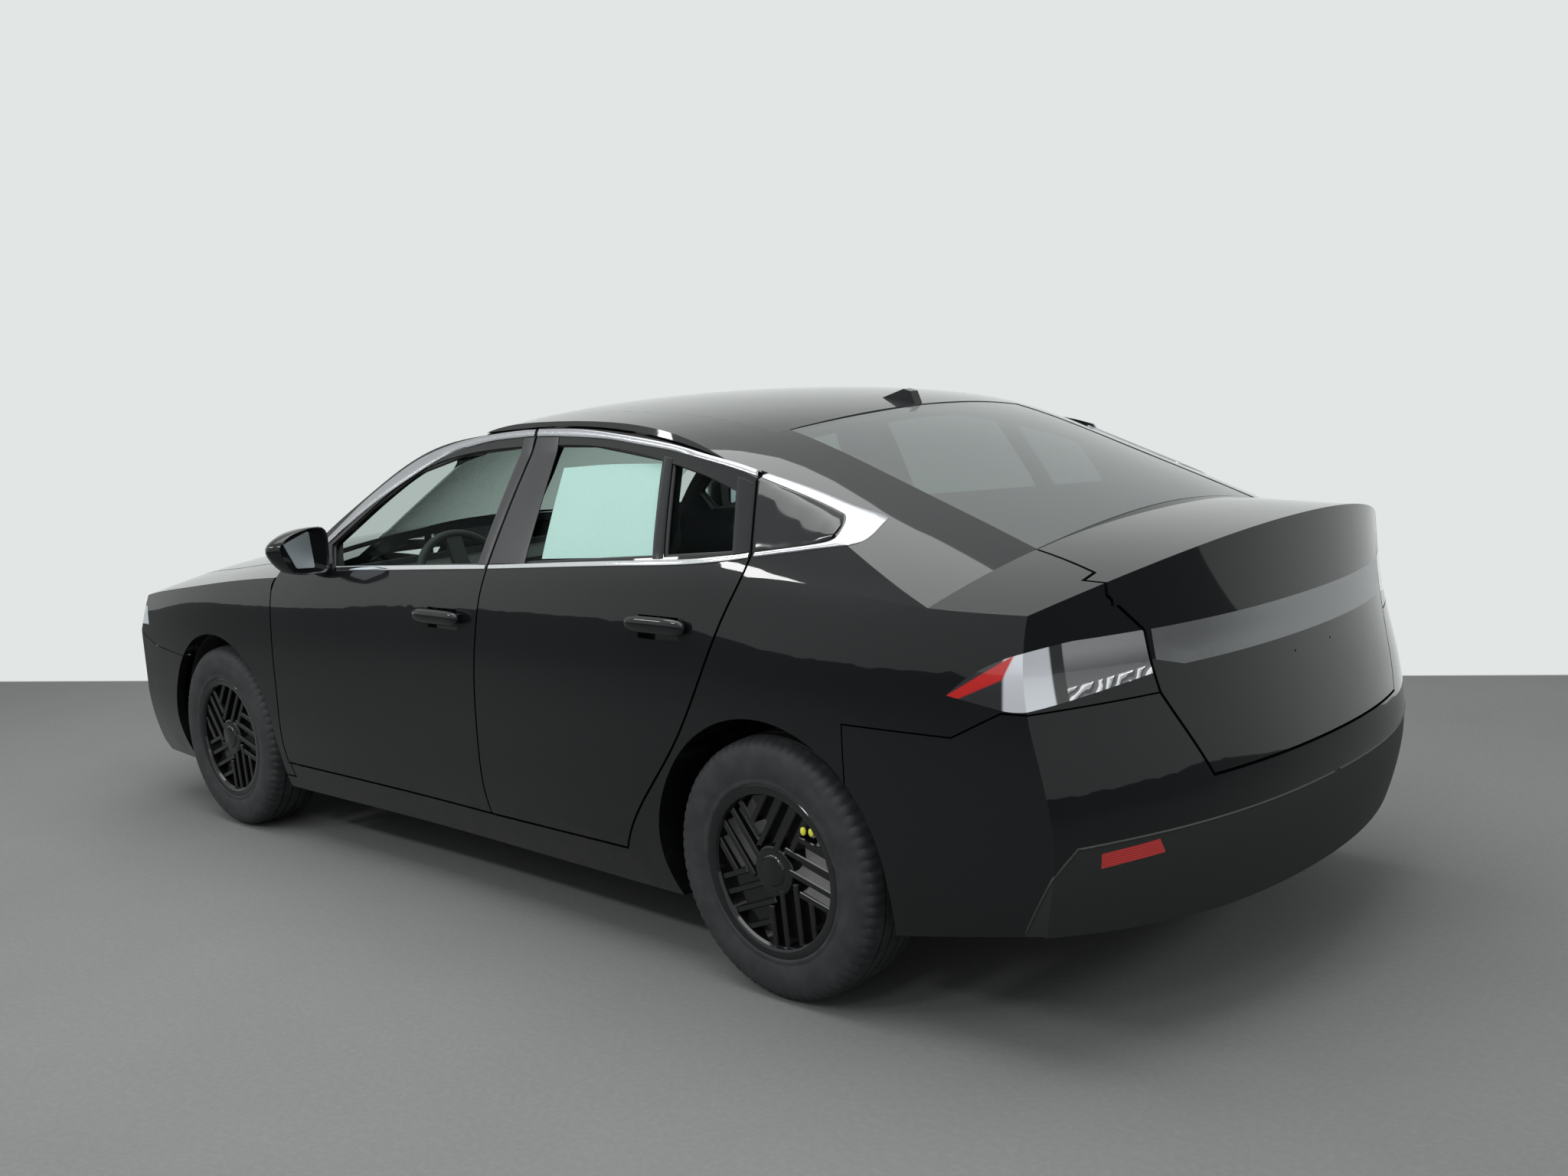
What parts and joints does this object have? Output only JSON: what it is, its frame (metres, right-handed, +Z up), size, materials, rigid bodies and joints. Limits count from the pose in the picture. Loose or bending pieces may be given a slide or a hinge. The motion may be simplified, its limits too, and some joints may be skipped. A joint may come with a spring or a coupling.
{
  "type": "sedan car",
  "caption": "Four-door sedan with hinged doors, bonnet and boot lid, steered front wheels, and wheels that roll.",
  "frame": {"origin": "on the ground, at the middle of the car's length and width", "axes": "+X forwards, +Y to the car's left, +Z up"},
  "size_m": [4.6529, 2.18, 1.4484],
  "materials": {
    "body_paint": "deep gloss black paint",
    "window_glass": "greenish tinted glass",
    "tyre_rubber": "matt black rubber",
    "wheel_black": "gloss black wheel cover",
    "underbody_steel": "dark primer",
    "cast_metal": "as cast",
    "exhaust_steel": "dull steel",
    "trim_plastic": "grained black plastic",
    "seat_cloth": "dark grey cloth",
    "headlamp_lens": "clear lens over bright reflectors",
    "tail_lamp_lens": "red lens",
    "lamp_bar": "dark silver lens"
  },
  "bodies": {
    "body": {"side_frame_left": "body_paint", "side_frame_right": "body_paint", "roof_panel": "body_paint", "front_fender_left": "body_paint", "front_fender_right": "body_paint", "front_bumper": "body_paint", "rear_bumper": "body_paint", "windscreen": "window_glass", "rear_window": "window_glass", "floor_pan": "underbody_steel", "front_frame": "underbody_steel", "subframe": "underbody_steel", "rear_axle": "underbody_steel", "cowl": "underbody_steel", "engine": "cast_metal", "exhaust": "exhaust_steel", "dashboard": "trim_plastic", "grille": "trim_plastic", "front_seats": "seat_cloth", "rear_seat": "seat_cloth", "headlamp_left": "headlamp_lens", "headlamp_right": "headlamp_lens", "tail_lamp_left": "tail_lamp_lens", "tail_lamp_right": "tail_lamp_lens", "rear_reflectors": "tail_lamp_lens"},
    "bonnet": {"hood": "body_paint"},
    "boot": {"boot_lid": "body_paint", "boot_lamps": "lamp_bar"},
    "steering": {"steering_wheel": "trim_plastic"},
    "front_door_left_body": {"front_door_left": "body_paint", "front_door_glass_left": "window_glass", "mirror_left": "body_paint"},
    "rear_door_left_body": {"rear_door_left": "body_paint", "rear_door_glass_left": "window_glass"},
    "hub_carrier_left": {"knuckle_left": "cast_metal"},
    "road_wheel_front_left": {"wheel_front_left": "wheel_black", "tyre_front_left": "tyre_rubber"},
    "road_wheel_rear_left": {"wheel_rear_left": "wheel_black", "tyre_rear_left": "tyre_rubber"},
    "front_door_right_body": {"front_door_right": "body_paint", "front_door_glass_right": "window_glass", "mirror_right": "body_paint"},
    "rear_door_right_body": {"rear_door_right": "body_paint", "rear_door_glass_right": "window_glass"},
    "hub_carrier_right": {"knuckle_right": "cast_metal"},
    "road_wheel_front_right": {"wheel_front_right": "wheel_black", "tyre_front_right": "tyre_rubber"},
    "road_wheel_rear_right": {"wheel_rear_right": "wheel_black", "tyre_rear_right": "tyre_rubber"}
  },
  "joints": [
    {"name": "steer_left", "type": "hinge", "parent": "body", "child": "hub_carrier_left", "pos_m": [1.388, 0.7, 0.326], "axis": [0, 0, 1], "range_deg": [-33, 33]},
    {"name": "spin_front_left", "type": "hinge", "parent": "hub_carrier_left", "child": "road_wheel_front_left", "pos_m": [1.388, 0.795, 0.326], "axis": [0, 1, 0], "continuous": true},
    {"name": "spin_rear_left", "type": "hinge", "parent": "body", "child": "road_wheel_rear_left", "pos_m": [-1.325, 0.795, 0.326], "axis": [0, 1, 0], "continuous": true},
    {"name": "front_door_hinge_left", "type": "hinge", "parent": "body", "child": "front_door_left_body", "pos_m": [0.92, 0.897, 0.6], "axis": [0, 0, -1], "range_deg": [0, 65]},
    {"name": "rear_door_hinge_left", "type": "hinge", "parent": "body", "child": "rear_door_left_body", "pos_m": [-0.262, 0.89, 0.6], "axis": [0, 0, -1], "range_deg": [0, 65]},
    {"name": "steer_right", "type": "hinge", "parent": "body", "child": "hub_carrier_right", "pos_m": [1.388, -0.7, 0.326], "axis": [0, 0, 1], "range_deg": [-33, 33]},
    {"name": "spin_front_right", "type": "hinge", "parent": "hub_carrier_right", "child": "road_wheel_front_right", "pos_m": [1.388, -0.795, 0.326], "axis": [0, 1, 0], "continuous": true},
    {"name": "spin_rear_right", "type": "hinge", "parent": "body", "child": "road_wheel_rear_right", "pos_m": [-1.325, -0.795, 0.326], "axis": [0, 1, 0], "continuous": true},
    {"name": "front_door_hinge_right", "type": "hinge", "parent": "body", "child": "front_door_right_body", "pos_m": [0.92, -0.897, 0.6], "axis": [0, 0, 1], "range_deg": [0, 65]},
    {"name": "rear_door_hinge_right", "type": "hinge", "parent": "body", "child": "rear_door_right_body", "pos_m": [-0.262, -0.89, 0.6], "axis": [0, 0, 1], "range_deg": [0, 65]},
    {"name": "steering_wheel_turn", "type": "hinge", "parent": "body", "child": "steering", "pos_m": [0.575, 0.37, 0.853], "axis": [-0.9135, 0, 0.4067], "range_deg": [-430, 430]},
    {"name": "bonnet_hinge", "type": "hinge", "parent": "body", "child": "bonnet", "pos_m": [0.79, 0, 0.95], "axis": [0, -1, 0], "range_deg": [0, 50]},
    {"name": "boot_hinge", "type": "hinge", "parent": "body", "child": "boot", "pos_m": [-1.88, 0, 1.112], "axis": [0, 1, 0], "range_deg": [0, 75]}
  ],
  "couplings": [
    {"joint": "steer_right", "follows": "steer_left", "ratio": 1},
    {"joint": "steering_wheel_turn", "follows": "steer_left", "ratio": 13}
  ]
}
